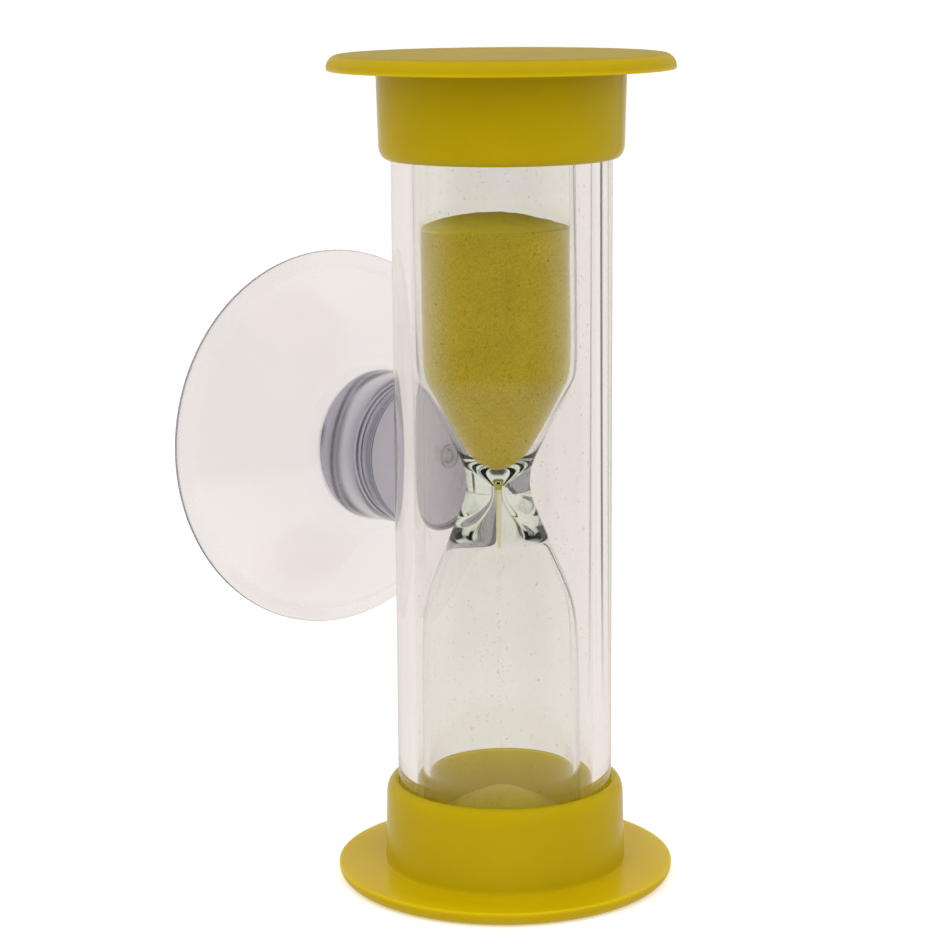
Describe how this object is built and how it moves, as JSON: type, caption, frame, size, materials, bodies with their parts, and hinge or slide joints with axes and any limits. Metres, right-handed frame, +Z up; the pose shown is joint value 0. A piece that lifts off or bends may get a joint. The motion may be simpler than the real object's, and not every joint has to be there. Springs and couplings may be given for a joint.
{
  "type": "sand timer with suction cup",
  "caption": "Sand timer: blown glass bulb with sand in a clear tube between two flanged caps, turning over on a soft suction cup behind it.",
  "frame": {"origin": "centre of the base face that the timer stands on, on the axis of the tube", "axes": "+Z up along the tube; +Y towards the suction cup; +X completes the right-handed frame"},
  "size_m": [0.0446, 0.0522, 0.0918],
  "materials": {
    "cap_plastic": "glossy skirt, satin outer face",
    "clear_tube": "clear, polished",
    "bulb_glass": "clear blown glass, faintly green at the waist",
    "sand": "fine coloured grains, matt",
    "soft_clear": "clear soft plastic, smooth, thicker parts bluish grey",
    "pin_plastic": "clear, smooth"
  },
  "bodies": {
    "timer": {"lower_cap": "cap_plastic", "upper_cap": "cap_plastic", "outer_tube": "clear_tube", "glass_bulb": "bulb_glass", "upper_sand": "sand", "sand_stream": "sand", "lower_sand": "sand"},
    "cup": {"suction_cup": "soft_clear", "pivot_pin": "pin_plastic"}
  },
  "joints": [
    {"name": "cup_turn", "type": "hinge", "parent": "timer", "child": "cup", "pos_m": [0, 0, 0.0469], "axis": [0, 0.9992, -0.0401], "continuous": true}
  ]
}
